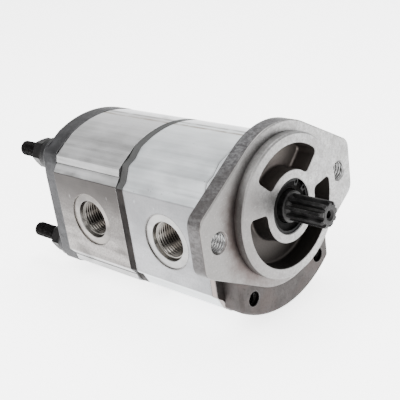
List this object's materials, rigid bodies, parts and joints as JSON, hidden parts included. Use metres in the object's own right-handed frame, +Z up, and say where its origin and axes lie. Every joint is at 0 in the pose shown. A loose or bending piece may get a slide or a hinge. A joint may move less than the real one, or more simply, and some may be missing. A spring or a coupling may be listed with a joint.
{
  "type": "tandem hydraulic gear pump",
  "caption": "Tandem external gear pump with a two-bolt flange, splined drive shaft, side ports and through tie studs.",
  "frame": {"origin": "on the drive shaft axis, in the plane of the mounting face", "axes": "+X along the drive shaft out of the front, +Z up, +Y towards the inlet ports; the outlet ports face -Y"},
  "size_m": [0.233, 0.13, 0.1133],
  "materials": {
    "cast_aluminium": "cast aluminium, machined front face, lightly blasted",
    "extruded_aluminium": "bright extruded aluminium with fine lengthwise lines",
    "dark_aluminium": "dark grey plate, saw-cut edge",
    "ground_steel": "hardened and ground",
    "black_steel": "blackened and oiled",
    "block_aluminium": "machined aluminium",
    "bearing_bronze": "sintered bronze bearing lining",
    "black_rubber": "black nitrile rubber"
  },
  "bodies": {
    "housing": {"front_cover": "cast_aluminium", "rear_cover": "cast_aluminium", "front_body": "extruded_aluminium", "rear_body": "extruded_aluminium", "centre_plate": "dark_aluminium", "seal_retaining_ring": "black_steel", "front_pump_front_bearing_block": "block_aluminium", "front_pump_front_pressure_seal": "black_rubber", "front_body_front_seal": "black_rubber", "front_pump_front_drive_bush": "bearing_bronze", "front_pump_front_driven_bush": "bearing_bronze", "front_pump_rear_bearing_block": "block_aluminium", "front_pump_rear_pressure_seal": "black_rubber", "front_body_rear_seal": "black_rubber", "front_pump_rear_drive_bush": "bearing_bronze", "front_pump_rear_driven_bush": "bearing_bronze", "rear_pump_front_bearing_block": "block_aluminium", "rear_pump_front_pressure_seal": "black_rubber", "rear_body_front_seal": "black_rubber", "rear_pump_front_drive_bush": "bearing_bronze", "rear_pump_front_driven_bush": "bearing_bronze", "rear_pump_rear_bearing_block": "block_aluminium", "rear_pump_rear_pressure_seal": "black_rubber", "rear_body_rear_seal": "black_rubber", "rear_pump_rear_drive_bush": "bearing_bronze", "rear_pump_rear_driven_bush": "bearing_bronze", "shaft_seal": "black_rubber", "tie_stud_upper_left": "black_steel", "hex_nut_upper_left": "black_steel", "washer_upper_left": "black_steel", "tie_stud_upper_right": "black_steel", "hex_nut_upper_right": "black_steel", "washer_upper_right": "black_steel", "tie_stud_lower_left": "black_steel", "hex_nut_lower_left": "black_steel", "washer_lower_left": "black_steel", "tie_stud_lower_right": "black_steel", "hex_nut_lower_right": "black_steel", "washer_lower_right": "black_steel", "dowel_front_left": "ground_steel", "dowel_front_right": "ground_steel", "dowel_centre_left": "ground_steel", "dowel_centre_right": "ground_steel", "dowel_rear_left": "ground_steel", "dowel_rear_right": "ground_steel"},
    "drive_train": {"front_drive_shaft": "black_steel", "coupling_sleeve": "ground_steel", "rear_drive_shaft": "ground_steel"},
    "front_driven": {"front_driven_gear": "ground_steel"},
    "rear_driven": {"rear_driven_gear": "ground_steel"}
  },
  "joints": [
    {"name": "drive_spin", "type": "hinge", "parent": "housing", "child": "drive_train", "pos_m": [-0.0505, 0, 0], "axis": [1, 0, 0], "continuous": true},
    {"name": "front_driven_spin", "type": "hinge", "parent": "housing", "child": "front_driven", "pos_m": [-0.0505, 0, -0.03], "axis": [1, 0, 0], "continuous": true},
    {"name": "rear_driven_spin", "type": "hinge", "parent": "housing", "child": "rear_driven", "pos_m": [-0.1167, 0, -0.03], "axis": [1, 0, 0], "continuous": true}
  ],
  "couplings": [
    {"joint": "front_driven_spin", "follows": "drive_spin", "ratio": -1},
    {"joint": "rear_driven_spin", "follows": "drive_spin", "ratio": -1}
  ]
}
